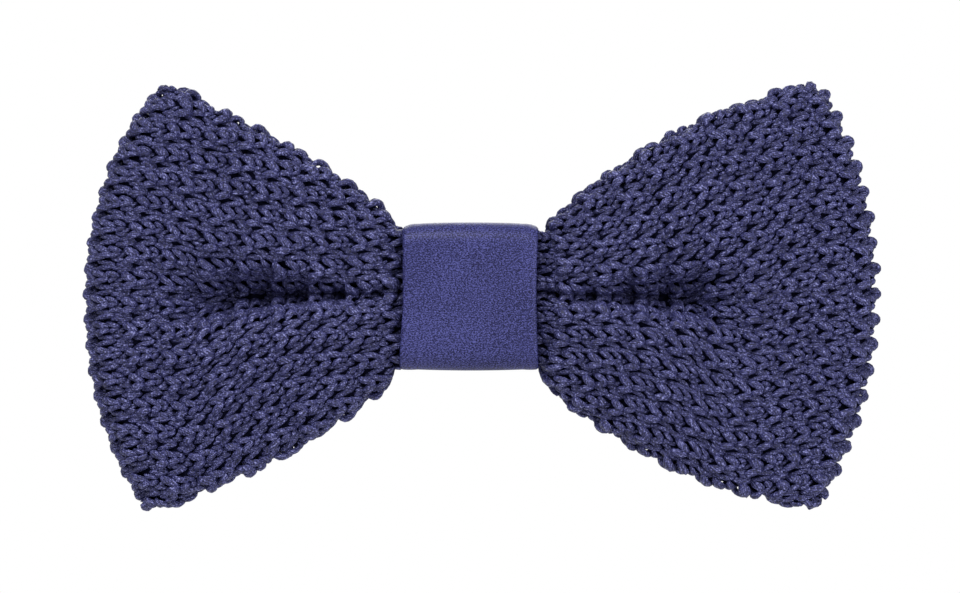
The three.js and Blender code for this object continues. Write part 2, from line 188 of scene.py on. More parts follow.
def outline_height(side, up, x):
    start, straight, corner, _, flare = QUARTERS[(side, up)]
    u = np.clip((x - OUTLINE_START) / (corner - OUTLINE_START), 0.0, 1.0)
    height = mix(start, HALF_HEIGHT, mix(1.0 - (1.0 - u) ** 2, u, straight))
    height = height + flare * u**9 - EDGE_SLACK * u**3
    return mix(PINCH_HALF_HEIGHT, height, smooth((x - WING_START[side] + PINCH_LEAD) / PINCH_RUN))


def crease_height(side, x):
    first, last = CREASE_DROP[side]
    run = np.clip((x - WING_START[side]) / CREASE_RUN, 0.0, 1.0)
    return mix(first, last, run) * (1.0 - ramp_up(x, CREASE_LEVEL))


def make_tables(side, up, back):
    """Z and rise of one layer of one quarter, at each station along x and arc length across it."""
    zs, rs = [], []
    for x in STATIONS:
        from_knot = x - WING_START[side]
        height = outline_height(side, up, x) - up * crease_height(side, x)
        depth, mouth, crown = (table_at(from_knot * POCKET_SHRINK[side], k) for k in (1, 2, 3))
        gap = table_at(from_knot, 4)
        squeeze = table_at(from_knot, 5)
        if back:
            height -= BACK_INSET * (1.0 - ramp_up(x, BACK_MEETS_FRONT))
            depth *= BACK_CREASE
            arc, z, rise = half_section(height, depth, BACK_MOUTH, BACK_CROWN, BACK_CURL)
            face = np.interp(height, z[:FACE_STEPS], arc[:FACE_STEPS])
            squeeze = min(1.0, face / HALF_HEIGHT * BACK_SQUEEZE)
        else:
            lip = UPPER_MOUTH if up > 0 else LOWER_MOUTH
            opened = ramp_up(from_knot, MOUTH_OPENS) * (1.0 - ramp_up(from_knot, MOUTH_CLOSES))
            curl = max(gap + FRONT_CURL_EXTRA, LEAST_CURL)
            arc, z, rise = half_section(height, depth, mouth * mix(1.0, lip, opened), crown, curl)
        zs.append(np.interp(ARCS * squeeze, arc, z))
        rs.append(np.interp(ARCS * squeeze, arc, rise))
    return np.array(zs), np.array(rs)


TABLES = {
    (side, up, back): make_tables(side, up, back)
    for side in SIDES
    for up in (1, -1)
    for back in (False, True)
}


def read_table(values, x, w):
    """Reads a table between its stations and arc lengths."""
    below_last = 1.001
    i = np.clip(x / (STATIONS[1] - STATIONS[0]), 0, len(STATIONS) - below_last)
    j = np.clip(w / (ARCS[1] - ARCS[0]), 0, len(ARCS) - below_last)
    i0, j0 = i.astype(int), j.astype(int)
    fi, fj = i - i0, j - j0
    low = values[i0, j0] * (1 - fj) + values[i0, j0 + 1] * fj
    high = values[i0 + 1, j0] * (1 - fj) + values[i0 + 1, j0 + 1] * fj
    return low * (1 - fi) + high * fi


def section_at(side, back, x, w):
    """Height and rise of one layer at places along x and w across the strip."""
    z, rise = np.zeros_like(w), np.zeros_like(w)
    for up in (1, -1):
        chosen = (w >= 0) if up > 0 else (w < 0)
        zs, rs = TABLES[(side, up, back)]
        z[chosen] = up * read_table(zs, x[chosen], np.abs(w[chosen]))
        rise[chosen] = read_table(rs, x[chosen], np.abs(w[chosen]))
    return z + crease_height(side, x), rise


def fold_reach(side, x, rise):
    """How far the outer fold stands out past the place where it begins."""
    return np.maximum(table_at(x - WING_START[side], 4) + rise, LEAST_REACH)


def edge_x(side, w):
    """Where the outer fold begins on each row, so that its yarn ends on the outline."""
    v = np.abs(w) / HALF_HEIGHT
    upper, lower = QUARTERS[(side, 1)], QUARTERS[(side, -1)]
    corner = np.where(w >= 0, upper[2], lower[2])
    power = np.where(w >= 0, upper[3], lower[3])
    end = mix(corner, OUTER_X, 1.0 - v**power) - YARN_PROUD
    rise = section_at(side, False, end - FOLD_RADIUS, w)[1]
    return end - fold_reach(side, end - FOLD_RADIUS, rise)


def surface(side, t, w):
    """Points of a wing: t runs from the knot over the outer fold and back, w across the strip."""
    xe = edge_x(side, w)
    past = t - ROW_LENGTH
    turn = np.clip(past / FOLD_LENGTH, 0.0, 1.0)
    beyond = np.maximum(past - FOLD_LENGTH, 0.0)
    x = np.where(past < 0, xe + past, xe - beyond)
    zf, rf = section_at(side, False, x, w)
    zb, rb = section_at(side, True, x, w)
    z, rise = mix(zf, zb, turn), mix(rf, rb, turn)
    gap = table_at(x - WING_START[side], 4)
    reach = gap + rise
    angle = turn * math.pi
    return np.stack(
        [
            SIDES[side] * (x + np.maximum(reach, LEAST_REACH) * np.sin(angle)),
            BOW_PLANE - reach * np.cos(angle),
            z,
        ],
        axis=-1,
    )


NORMAL_STEP = 0.12


def surface_frame(side, t, w):
    """Points of a wing and the surface's outward normals there."""
    p = surface(side, t, w)
    dt = surface(side, t + NORMAL_STEP, w) - surface(side, t - NORMAL_STEP, w)
    dw = surface(side, t, w + NORMAL_STEP) - surface(side, t, w - NORMAL_STEP)
    n = np.cross(dt, dw) * SIDES[side]
    n /= np.maximum(np.linalg.norm(n, axis=-1, keepdims=True), 1e-9)
    return p, n


# ---------------------------------------------------------------- meshes
def add_object(name, mesh):
    obj = bpy.data.objects.new(name, mesh)
    bpy.context.scene.collection.objects.link(obj)
    return obj


def make_object(name, verts, faces):
    mesh = bpy.data.meshes.new(name)
    mesh.from_pydata((np.asarray(verts) * MM).tolist(), [], faces)
    mesh.update()
    mesh.polygons.foreach_set("use_smooth", [True] * len(mesh.polygons))
    return add_object(name, mesh)


def fix_normals(obj):
    made = bmesh.new()
    made.from_mesh(obj.data)
    bmesh.ops.recalc_face_normals(made, faces=made.faces)
    made.to_mesh(obj.data)
    made.free()
    return obj


def unit(vectors):
    return vectors / np.linalg.norm(vectors, axis=1, keepdims=True)


def path_steps(path):
    return np.linalg.norm(np.diff(path, axis=0), axis=1)


def length_along(path):
    return np.concatenate([[0], np.cumsum(path_steps(path))])


def make_quads(name, verts, quads, uv=None, uv_name="yarn"):
    """A mesh of quads only, made quickly. uv holds a pair for each corner."""
    mesh = bpy.data.meshes.new(name)
    mesh.vertices.add(len(verts))
    mesh.vertices.foreach_set("co", (np.asarray(verts) * MM).astype(np.float32).ravel())
    mesh.loops.add(quads.size)
    mesh.loops.foreach_set("vertex_index", quads.astype(np.int32).ravel())
    mesh.polygons.add(len(quads))
    mesh.polygons.foreach_set("loop_start", np.arange(0, quads.size, 4, dtype=np.int32))
    mesh.polygons.foreach_set("use_smooth", np.ones(len(quads), bool))
    if uv is not None:
        layer = mesh.uv_layers.new(name=uv_name)
        layer.data.foreach_set("uv", uv.astype(np.float32).ravel())
    mesh.update(calc_edges=True)
    mesh.validate()
    return add_object(name, mesh)


# ---------------------------------------------------------------- the knit's yarn
# The cell in which LEGS is drawn, in millimetres: x towards the wing's outer edge, y down the rows.
CELL_LONG = 5.87
CELL_WIDE = 3.92
# Each loop leg of one cell: start, end, thickness, height, sideways bow.
LEGS = [
    # the raised wale: a wide stitch, the next loop through it, and its small top
    [(0.80, 0.50), (3.10, 1.50), 1.30, 0.96, -0.14],
    [(3.12, 1.72), (0.90, 2.76), 1.24, 0.98, 0.14],
    [(2.40, 0.20), (5.02, 1.04), 1.04, 0.84, -0.22],
    [(5.04, 1.26), (3.10, 2.14), 0.98, 0.80, 0.16],
    [(4.50, 0.24), (6.10, 0.86), 0.82, 0.50, -0.12],
    [(6.06, 1.04), (4.90, 1.62), 0.76, 0.44, 0.08],
    # the recessed wale: a stitch, a long one behind it, and the deep yarn between
    [(-0.20, 2.84), (2.14, 3.12), 0.94, 0.08, -0.08],
    [(2.20, 3.42), (0.05, 4.20), 1.02, 0.14, 0.12],
    [(2.20, 2.36), (5.66, 2.74), 0.90, 0.05, -0.10],
    [(5.68, 2.98), (1.80, 4.10), 0.94, 0.10, 0.12],
    [(5.00, 1.96), (6.90, 2.22), 0.86, 0.04, 0.0],
    [(5.20, 3.74), (6.90, 3.36), 0.86, 0.04, 0.0],
    [(6.90, 1.10), (5.60, 1.90), 0.70, 0.0, 0.0],
]
# The same for one knot of the outer fold, about its middle, and how far down the cell that lies.
KNOT_LEGS = [
    [(-1.20, -0.42), (1.00, -0.38), 1.05, 1.05, 0.0],
    [(-1.00, 0.38), (1.20, 0.42), 1.05, 1.10, 0.0],
    [(-0.50, -0.95), (0.50, 0.95), 1.00, 1.45, 0.12],
    [(-1.60, 0.70), (-0.40, -0.70), 0.84, 1.15, 0.1],
]
KNOT_ROW = 3.5
# How flat the yarn lies, how deep and thin a leg's ends are, and the shape of its arch and taper.
YARN_FLAT = 0.84
LEG_SUNK = -0.35
LEG_END_WIDTH = 0.50
ARCH_POWER = 3.2
TAPER_POWER = 0.7
# Random spread of a leg: growth, turn, shift along, across and off the strip, place in the yarn.
GROW_SPREAD = 0.04
TURN_SPREAD = 0.05
SHIFT_SPREAD = (0.06, 0.05, 0.06)
YARN_SPREAD = 50
# Rings and sides of a leg's mesh, front and back.
FRONT_MESH = (9, 8)
BACK_MESH = (7, 6)
# The front yarn goes this far past the middle of the fold, and starts this far inside the knot.
FRONT_PAST_FOLD = 2.0
INSIDE_KNOT = 2.5


def leg_template(leg, rings, sides):
    """The points of one leg's rings, and its length."""
    (p0, q0), (p1, q1), thickness, height, bow = leg
    a = np.linspace(0.0, 1.0, rings)
    length = math.hypot(p1 - p0, q1 - q0)
    along = np.array([p1 - p0, q1 - q0]) / length
    across = np.array([-along[1], along[0]])
    arch = 1.0 - np.abs(2 * a - 1) ** ARCH_POWER
    centre_p = mix(p0, p1, a) + across[0] * bow * np.sin(math.pi * a)
    centre_q = mix(q0, q1, a) + across[1] * bow * np.sin(math.pi * a)
    centre_d = mix(LEG_SUNK, height, arch)
    radius = thickness / 2 * mix(LEG_END_WIDTH, 1.0, arch**TAPER_POWER)
    centre = np.stack([centre_p, centre_q, centre_d], axis=-1)
    side = np.array([across[0], across[1], 0.0])
    normal = unit(np.cross(unit(np.gradient(centre, axis=0)), side))
    normal *= np.sign(normal[:, 2:3] + 1e-9)
    angles = np.arange(sides) / sides * 2 * math.pi
    ring = np.cos(angles)[None, :, None] * side
    ring = ring + np.sin(angles)[None, :, None] * normal[:, None, :] * YARN_FLAT
    points = centre[:, None, :] + ring * radius[:, None, None]
    return points.reshape(-1, 3), length


def leg_faces(rings, sides):
    """The quads of one leg, with its two ends closed."""
    quads = []
    for i in range(rings - 1):
        for j in range(sides):
            k = (j + 1) % sides
            quads.append([i * sides + k, i * sides + j, (i + 1) * sides + j, (i + 1) * sides + k])
    for start in (0, (rings - 1) * sides):
        for j in range(0, sides - 2, 2):
            corners = [start, start + j + 1, start + j + 2, start + (j + 3) % sides]
            quads.append(corners[::-1] if start else corners)
    return np.array(quads)


def leg_uv(rings, sides):
    """Places along and round the yarn for each corner of leg_faces."""
    pairs = []
    for i in range(rings - 1):
        for j in range(sides):
            a0, a1 = i / (rings - 1), (i + 1) / (rings - 1)
            b0, b1 = j / sides, (j + 1) / sides
            pairs += [(a0, b1), (a0, b0), (a1, b0), (a1, b1)]
    caps = (sides - 2 + 1) // 2
    pairs += [(0.0, 0.0), (0.0, 0.1), (0.05, 0.1), (0.05, 0.0)] * (2 * caps)
    return np.array(pairs)


# How far the legs lean away from the middle, as rise over run, at these places along x.
LEAN = ([10.0, 20.0, 38.0, 56.0], [0.32, 0.30, 0.22, 0.06])
LEAN_FULL = 6.0


def lean_of(x, w):
    return np.interp(x, *LEAN) * np.tanh(w / LEAN_FULL)


def lay_legs(name, side, batches, rings_and_sides, rng):
    """One mesh of yarn. A batch is a leg, the places of its copies on the strip and their lean."""
    rings, sides = rings_and_sides
    faces = leg_faces(rings, sides)
    uvs = leg_uv(rings, sides)
    count = rings * sides
    all_verts, all_quads, all_uv = [], [], []
    total = 0
    for leg, t_mid, w_mid, lean in batches:
        shape, length = leg_template(leg, rings, sides)
        n = len(t_mid)
        jitter = rng.normal(0.0, 1.0, (n, 5))
        p = (shape[None, :, 0] - (leg[0][0] + leg[1][0]) / 2) * SIDES[side]
        q = -(shape[None, :, 1] - (leg[0][1] + leg[1][1]) / 2)
        grow = 1.0 + GROW_SPREAD * jitter[:, 0:1]
        spin = TURN_SPREAD * jitter[:, 1:2]
        pp = p * grow + q * -spin + SHIFT_SPREAD[0] * jitter[:, 2:3]
        qq = q * grow + p * (spin + lean[:, None]) + SHIFT_SPREAD[1] * jitter[:, 3:4]
        d = shape[None, :, 2] + SHIFT_SPREAD[2] * jitter[:, 4:5]
        t = t_mid[:, None] + pp * REPEAT_LONG / CELL_LONG
        w = w_mid[:, None] + qq * REPEAT_WIDE / CELL_WIDE
        point, normal = surface_frame(side, t.ravel(), w.ravel())
        all_verts.append(point + normal * d.ravel()[:, None])
        offsets = total + np.arange(n)[:, None, None] * count
        all_quads.append((faces[None] + offsets).reshape(-1, 4))
        u = uvs[None, :, 0] * length + rng.uniform(0, YARN_SPREAD, n)[:, None]
        v = np.repeat(uvs[None, :, 1], n, axis=0)
        all_uv.append(np.stack([u, v], axis=-1).reshape(-1, 2))
        total += n * count
    return make_quads(name, *(np.concatenate(x) for x in (all_verts, all_quads, all_uv)))


def knit_yarn(name, side, first, last, rings_and_sides, rng, half=0):
    """The yarn of one wing between two lengths of the strip; half picks its upper or lower rows."""
    cols = np.arange(math.floor(first / REPEAT_LONG), math.ceil(last / REPEAT_LONG))
    batches = []
    for leg in LEGS:
        mid_p, mid_q = (leg[0][0] + leg[1][0]) / 2, (leg[0][1] + leg[1][1]) / 2
        ci, cj = np.meshgrid(cols, np.arange(-HALF_ROWS, HALF_ROWS), indexing="ij")
        ci, cj = ci.ravel().astype(float), cj.ravel().astype(float)
        t_mid = (ci + 0.5 + SIDES[side] * (mid_p / CELL_LONG - 0.5)) * REPEAT_LONG
        w_mid = (cj + 1 - mid_q / CELL_WIDE) * REPEAT_WIDE
        keep = (t_mid >= first) & (t_mid < last) & (np.abs(w_mid) < HALF_ROWS * REPEAT_WIDE)
        x_mid = np.abs(surface(side, t_mid, w_mid)[:, 0])
        keep &= x_mid > WING_START[side] - INSIDE_KNOT
        if half:
            keep &= (w_mid >= 0) == (half > 0)
        batches.append((leg, t_mid[keep], w_mid[keep], lean_of(x_mid[keep], w_mid[keep])))
    return lay_legs(name, side, batches, rings_and_sides, rng)


def edge_knots(name, side, rng):
    """The knots of yarn that stand out of the outer fold, one to a row."""
    row = np.arange(-HALF_ROWS, HALF_ROWS) + 1.0
    w = (row - KNOT_ROW / CELL_WIDE) * REPEAT_WIDE
    w = w[np.abs(w) < HALF_HEIGHT]
    t_mid, lean = np.full(len(w), FOLD_MIDDLE), np.zeros(len(w))
    batches = [(leg, t_mid, w - (leg[0][1] + leg[1][1]) / 2, lean) for leg in KNOT_LEGS]
    return lay_legs(name, side, batches, FRONT_MESH, rng)


def knit_ground_shade(name, side):
    """The closed inner cloth of one wing that the yarn stands on."""
    half = HALF_ROWS * REPEAT_WIDE
    along, across = GROUND_GRID
    shares, widths = np.linspace(0.0, 1.0, along), np.linspace(-half, half, across)
    share, w = np.meshgrid(shares, widths, indexing="ij")
    first = ROW_LENGTH - (edge_x(side, w) + GROUND_PAST_MIDDLE)
    t = mix(first, STRIP - first, share)
    p, n = surface_frame(side, t.ravel(), w.ravel())
    outer, inner = p - n * GROUND_DEPTH, p - n * (GROUND_DEPTH + GROUND_THICKNESS)
    verts = np.concatenate([outer, inner])
    count = along * across
    index = np.arange(count).reshape(along, across)
    corners = (index[:-1, :-1], index[1:, :-1], index[1:, 1:], index[:-1, 1:])
    top = np.stack(corners, -1).reshape(-1, 4)
    low = top[:, ::-1] + count
    ring = np.concatenate([index[0, :], index[1:, -1], index[-1, -2::-1], index[-2:0:-1, 0]])
    after = np.roll(ring, -1)
    rim = np.stack([ring, after, after + count, ring + count], -1)
    quads = np.concatenate([top, low, rim])
    if SIDES[side] < 0:
        quads = quads[:, ::-1]
    return make_quads(name, verts, quads)


# ---------------------------------------------------------------- ribbons and threads
# Touching pieces keep this gap.
GAP = 0.3
RIBBON_THICKNESS = 0.7
RIBBON_WIDTH = 15.0
BAND_RADIUS = 60.0 + RIBBON_THICKNESS / 2
PLY_STEP = RIBBON_THICKNESS + GAP
ARC_STEP = 0.8
WAVE_STEP = 0.35
# The length of the short steps at a ribbon's ends, as a share of its usual step.
END_STEP = 0.02
# The radius of a ribbon's edge, and the bead beside it: how thick, where it starts and how wide.
RIBBON_EDGE = 0.35
BEAD = 0.05
BEAD_INSET = 1.3
BEAD_WIDTH = 0.9
THREAD_RADIUS = 0.25
THREAD_PLIES = 2
THREAD_LAY = 1.1
THREAD_STEP = 0.14
THREAD_POINTS = 500
# A ply's radius and its distance from the thread's middle, as shares of the thread's radius.
PLY_RADIUS = 0.56
PLY_OFFSET = 0.44


def polar(angle, radius):
    a = np.radians(angle)
    return np.stack([radius * np.sin(a), -radius * np.cos(a)], axis=-1)


def degrees_along(length):
    return np.degrees(length / BAND_RADIUS)


def arc_path(start, end, radius):
    count = max(3, int(abs(math.radians(end - start)) * radius / ARC_STEP) + 1)
    return polar(np.linspace(start, end, count), radius)


def strip_section(thickness, width):
    """A ribbon's section: nearly flat faces with a slightly thicker, rounded edge."""
    flat = width / 2 - RIBBON_EDGE
    z = np.linspace(-flat, flat, 25)
    edge = np.clip((np.abs(z) - width / 2 + BEAD_INSET) / BEAD_WIDTH, 0.0, 1.0)
    half = thickness / 2 + BEAD * np.sin(edge * math.pi)
    turn = np.linspace(0, math.pi, 6)[1:-1]
    cap = np.stack([thickness / 2 * np.cos(turn), flat + RIBBON_EDGE * np.sin(turn)], -1)
    face = np.stack([half, z], -1)
    back = np.stack([-half, z], -1)[::-1]
    return np.concatenate([face, cap, back, -cap])


def sweep(name, centres, sides, ups, section):
    """A closed tube: section points (side, up) carried along the centres, with flat end caps."""
    n, m = len(centres), len(section)
    verts = (
        centres[:, None, :]
        + sides[:, None, :] * section[None, :, 0:1]
        + ups[:, None, :] * section[None, :, 1:2]
    ).reshape(-1, 3)
    i, j = np.meshgrid(np.arange(n - 1), np.arange(m), indexing="ij")
    k = (j + 1) % m
    quads = np.stack([i * m + j, i * m + k, (i + 1) * m + k, (i + 1) * m + j], -1).reshape(-1, 4)
    length = length_along(centres)
    u = np.stack([length[i], length[i], length[i + 1], length[i + 1]], -1)
    v = np.stack([section[j, 1], section[k, 1], section[k, 1], section[j, 1]], -1)
    uv = np.stack([u, v], -1).reshape(-1, 2)
    faces = quads.tolist()
    faces.append(list(range(m))[::-1])
    faces.append([(n - 1) * m + x for x in range(m)])
    uv = np.concatenate([uv, np.stack([np.full(2 * m, length[0]), np.tile(section[:, 1], 2)], -1)])
    obj = make_object(name, verts, faces)
    layer = obj.data.uv_layers.new(name="cloth")
    layer.data.foreach_set("uv", uv.astype(np.float32).ravel())
    fix_normals(obj)
    for cap in (len(quads), len(quads) + 1):
        obj.data.polygons[cap].use_smooth = False
    return obj


def ribbon(name, path, thickness=RIBBON_THICKNESS, width=RIBBON_WIDTH):
    """A ribbon on edge along a path in the XY plane."""
    path = np.asarray(path, float)
    # A very short first and last step keep the shading even up to the butt joins.
    ends = [mix(path[0], path[1], END_STEP), mix(path[-1], path[-2], END_STEP)]
    path = np.concatenate([path[:1], ends[:1], path[1:-1], ends[1:], path[-1:]])
    along = unit(np.gradient(path, axis=0))
    zero = np.zeros(len(path))
    centres = np.stack([path[:, 0], path[:, 1], zero], -1)
    sides = np.stack([-along[:, 1], along[:, 0], zero], -1)
    ups = np.tile([0.0, 0.0, 1.0], (len(path), 1))
    return sweep(name, centres, sides, ups, strip_section(thickness, width))


def dense(points, step):
    """Points at even steps along the path through the given ones."""
    points = np.asarray(points, float)
    length = length_along(points)
    wanted = np.linspace(0, length[-1], max(4, int(length[-1] / step)))
    return np.stack([np.interp(wanted, length, points[:, k]) for k in range(points.shape[1])], -1)


def thread(name, points):
    """A sewing thread of plies twisted round each other."""
    path = dense(points, THREAD_STEP)
    along = unit(np.gradient(path, axis=0))
    steep = abs(along[:, 2]).mean() >= 0.8
    first = unit(np.cross(along, [0.97, 0.2, 0.1] if steep else [0.13, 0.21, 0.97]))
    second = np.cross(along, first)
    around = np.arange(7) / 7 * 2 * math.pi
    ring = np.stack([np.cos(around), np.sin(around)], -1) * THREAD_RADIUS * PLY_RADIUS
    parts = []
    for ply in range(THREAD_PLIES):
        turn = 2 * math.pi * (length_along(path) / THREAD_LAY + ply / THREAD_PLIES)
        offset = first * np.cos(turn)[:, None] + second * np.sin(turn)[:, None]
        centres = path + offset * THREAD_RADIUS * PLY_OFFSET
        parts.append(sweep(f"{name}_{ply}", centres, first, second, ring))
    return join(parts, name)


def join(parts, name):
    """One object from several, which are removed."""
    made = bmesh.new()
    for part in parts:
        made.from_mesh(part.data)
    mesh = bpy.data.meshes.new(name)
    made.to_mesh(mesh)
    made.free()
    for part in parts:
        bpy.data.meshes.remove(part.data)
    return add_object(name, mesh)


# ---------------------------------------------------------------- materials
class Maker:
    """Makes one node material, with short calls for the nodes that most of them use."""

    def __init__(self, name, roughness, **settings):
        self.material = bpy.data.materials.new(name)
        self.material.use_nodes = True
        self.tree = self.material.node_tree
        self.shader = self.tree.nodes["Principled BSDF"]
        self.shader.inputs["Roughness"].default_value = roughness
        for key, value in settings.items():
            self.shader.inputs[key.replace("_", " ")].default_value = value
        self.place = self.tree.nodes.new("ShaderNodeTexCoord").outputs["Object"]

    def put(self, value, socket):
        if isinstance(value, bpy.types.NodeSocket):
            self.tree.links.new(value, socket)
        else:
            socket.default_value = value

    def math(self, operation, *values):
        made = self.tree.nodes.new("ShaderNodeMath")
        made.operation = operation
        for value, socket in zip(values, made.inputs):
            self.put(value, socket)
        return made.outputs[0]

    def noise(self, scale, detail=2.0, vector=None):
        made = self.tree.nodes.new("ShaderNodeTexNoise")
        made.inputs["Scale"].default_value = scale
        made.inputs["Detail"].default_value = detail
        self.tree.links.new(vector or self.place, made.inputs["Vector"])
        return made.outputs["Fac"]

    def uv(self, layer):
        made = self.tree.nodes.new("ShaderNodeUVMap")
        made.uv_map = layer
        split = self.tree.nodes.new("ShaderNodeSeparateXYZ")
        self.tree.links.new(made.outputs["UV"], split.inputs[0])
        return split.outputs["X"], split.outputs["Y"]

    def vector(self, *values):
        made = self.tree.nodes.new("ShaderNodeCombineXYZ")
        for value, socket in zip(values, made.inputs):
            self.put(value, socket)
        return made.outputs["Vector"]

    def range(self, value, low, high, to_low=0.0, to_high=1.0):
        made = self.tree.nodes.new("ShaderNodeMapRange")
        for socket, given in zip(list(made.inputs)[:5], (value, low, high, to_low, to_high)):
            self.put(given, socket)
        return made.outputs["Result"]

    def ramp(self, factor, *stops):
        made = self.tree.nodes.new("ShaderNodeValToRGB")
        elements = made.color_ramp.elements
        while len(elements) < len(stops):
            elements.new(0.5)
        for element, (position, colour) in zip(elements, stops):
            element.position = position
            element.color = (*colour, 1)
        self.put(factor, made.inputs["Fac"])
        return made.outputs["Color"]

    def bump(self, height, distance, strength=1.0, under=None):
        made = self.tree.nodes.new("ShaderNodeBump")
        made.inputs["Strength"].default_value = strength
        made.inputs["Distance"].default_value = distance * MM
        self.put(height, made.inputs["Height"])
        if under is not None:
            self.put(under, made.inputs["Normal"])
        return made.outputs["Normal"]

    def finish(self, colour, normal=None, roughness=None):
        self.put(colour, self.shader.inputs["Base Color"])
        if normal is not None:
            self.put(normal, self.shader.inputs["Normal"])
        if roughness is not None:
            self.put(roughness, self.shader.inputs["Roughness"])
        return self.material


def yarn_material():
    m = Maker("knit_yarn", 0.48, Sheen_Weight=0.0, Specular_IOR_Level=0.3)
    along, around = m.uv("yarn")
    turn = m.math("MULTIPLY_ADD", along, 0.16, around)
    strands = m.math("SINE", m.math("MULTIPLY", turn, 2 * math.pi * 9))
    place = m.vector(m.math("MULTIPLY", along, 2.2), m.math("MULTIPLY", turn, 15.0))
    fibres_and_glints = m.noise(1.0, 2.0, place)
    grain = m.noise(4300, 2.0)
    broad = m.noise(330, 2.0)
    # The tone mixes the yarn's own fibre colour with painted highlights: the fine grain gives
    # bright glinting specks, the fibre noise light streaks along the plies and the strands a faint
    # glint along the twist.
    tone = m.math("MULTIPLY_ADD", grain, 0.50, m.math("MULTIPLY", broad, 0.08))
    tone = m.math("MULTIPLY_ADD", fibres_and_glints, 0.42, tone)
    tone = m.math("MULTIPLY_ADD", strands, 0.012, tone)
    # The lower stops are the yarn's own dark and mid tones; the lightest stop is a painted
    # highlight, the glint on the fibres.
    colour = m.ramp(
        tone,
        (0.42, (0.0085, 0.0088, 0.036)),
        (0.50, (0.028, 0.0292, 0.103)),
        (0.56, (0.0675, 0.0695, 0.208)),
        (0.62, (0.235, 0.245, 0.500)),
    )
    height = m.math("ADD", m.math("MULTIPLY", grain, 0.6), fibres_and_glints)
    height = m.math("MULTIPLY_ADD", strands, 0.25, height)
    return m.finish(colour, m.bump(height, 0.11, 0.9))


def ground_shade_material():
    # Painted shade: the inner cloth is coloured nearly black and given no specular, so that it
    # shows as the shade deep in the holes between the stitches.
    m = Maker("knit_ground_shade", 0.95, Specular_IOR_Level=0.0)
    colour = m.ramp(m.noise(1500), (0.35, (0.0012, 0.0012, 0.004)), (0.7, (0.006, 0.0065, 0.018)))
    return m.finish(colour)


def satin_material(name, dark, middle, light, **settings):
    """A close satin weave on a strip whose UV layer is in millimetres."""
    m = Maker(name, 0.45, **settings)
    along, across = m.uv("cloth")
    # The floats lie across the strip and step sideways from one thread to the next.
    stepped = m.math("MULTIPLY_ADD", along, 0.35, m.math("MULTIPLY", across, 0.55))
    floats = m.noise(7.5, 2.0, m.vector(stepped, along))
    grain = m.noise(4200, 3.0)
    broad = m.noise(90, 3.0)
    tone = m.math("MULTIPLY_ADD", floats, 0.62, m.math("MULTIPLY", grain, 0.30))
    tone = m.math("MULTIPLY_ADD", broad, 0.08, tone)
    phase = m.math("MULTIPLY", along, 2 * math.pi / 0.40)
    rows = m.math("SINE", m.math("MULTIPLY_ADD", across, 0.9, phase))
    tone = m.math("MULTIPLY_ADD", rows, 0.012, tone)
    # The ramp runs over the weave's own tone, and its light stop is also a painted highlight: the
    # glint on the satin's floats.
    colour = m.ramp(tone, (0.44, dark), (0.5, middle), (0.57, light))
    fine = m.bump(m.math("ADD", floats, grain), 0.03, 0.6)
    soft = m.bump(broad, 0.5, 0.35, fine)
    return m.finish(colour, soft)


def thread_material():
    m = Maker("sewing_thread", 0.55, Sheen_Weight=0.1)
    grain = m.noise(6000, 2.0)
    colour = m.ramp(grain, (0.35, (0.022, 0.022, 0.075)), (0.7, (0.060, 0.062, 0.170)))
    return m.finish(colour, m.bump(grain, 0.04, 0.5))


def nickel_material():
    m = Maker("nickel", 0.22, Metallic=1.0)
    scratches = m.tree.nodes.new("ShaderNodeMapping")
    scratches.inputs["Scale"].default_value = (1.0, 1.0, 14.0)
    m.tree.links.new(m.place, scratches.inputs["Vector"])
    lines = m.noise(900, 4.0, scratches.outputs["Vector"])
    wear = m.noise(160, 3.0)
    colour = m.ramp(wear, (0.3, (0.55, 0.55, 0.56)), (0.7, (0.72, 0.72, 0.73)))
    roughness = m.range(lines, 0.3, 0.7, 0.16, 0.34)
    return m.finish(colour, m.bump(lines, 0.01, 0.25), roughness)


def label_material():
    m = Maker("label_satin", 0.5, Sheen_Weight=0.1)
    along, across = m.uv("cloth")
    weave = m.math(
        "MULTIPLY",
        m.math("SINE", m.math("MULTIPLY", along, 2 * math.pi / 0.3)),
        m.math("SINE", m.math("MULTIPLY", across, 2 * math.pi / 0.3)),
    )
    grain = m.noise(2500, 3.0)
    tone = m.math("MULTIPLY_ADD", weave, 0.12, grain)
    colour = m.ramp(tone, (0.3, (0.62, 0.60, 0.55)), (0.7, (0.82, 0.80, 0.76)))
    return m.finish(colour, m.bump(tone, 0.04, 0.5))


# ---------------------------------------------------------------- stage
def aim(obj, target):
    obj.rotation_euler = (Vector(target) - obj.location).to_track_quat("-Z", "Y").to_euler()


def area_light(name, place, target, size, power):
    data = bpy.data.lights.new(name, "AREA")
    data.shape = "RECTANGLE"
    data.size, data.size_y = size
    data.energy = power
    light = bpy.data.objects.new(name, data)
    bpy.context.scene.collection.objects.link(light)
    light.location = place
    aim(light, target)


WORLD_LIGHT = 0.45
CAMERA_DISTANCE = 0.800
SENSOR_WIDTH = 36.0
# How wide the picture is at the bow.
FRAME_WIDTH = 0.1447
camera_data = bpy.data.cameras.new("camera")
camera = bpy.data.objects.new("camera", camera_data)
bpy.context.scene.collection.objects.link(camera)
bpy.context.scene.camera = camera
camera_data.sensor_width = SENSOR_WIDTH
camera_data.lens = SENSOR_WIDTH * CAMERA_DISTANCE / FRAME_WIDTH
camera_data.clip_start = 0.01
camera_data.clip_end = 20.0
CENTRE = Vector((0.0, -0.072, 0.0))
camera.location = CENTRE + Vector((0.0, -CAMERA_DISTANCE, 0.0))
aim(camera, CENTRE)

area_light("key", (-0.25, -0.75, 0.75), (0, -0.06, 0), (0.7, 0.5), 9.0)
area_light("fill", (1.0, -1.0, 0.3), (0, -0.06, 0), (1.0, 0.7), 8.2)
area_light("rim", (0.0, 0.9, 0.6), (0, 0, 0), (0.9, 0.5), 5.0)

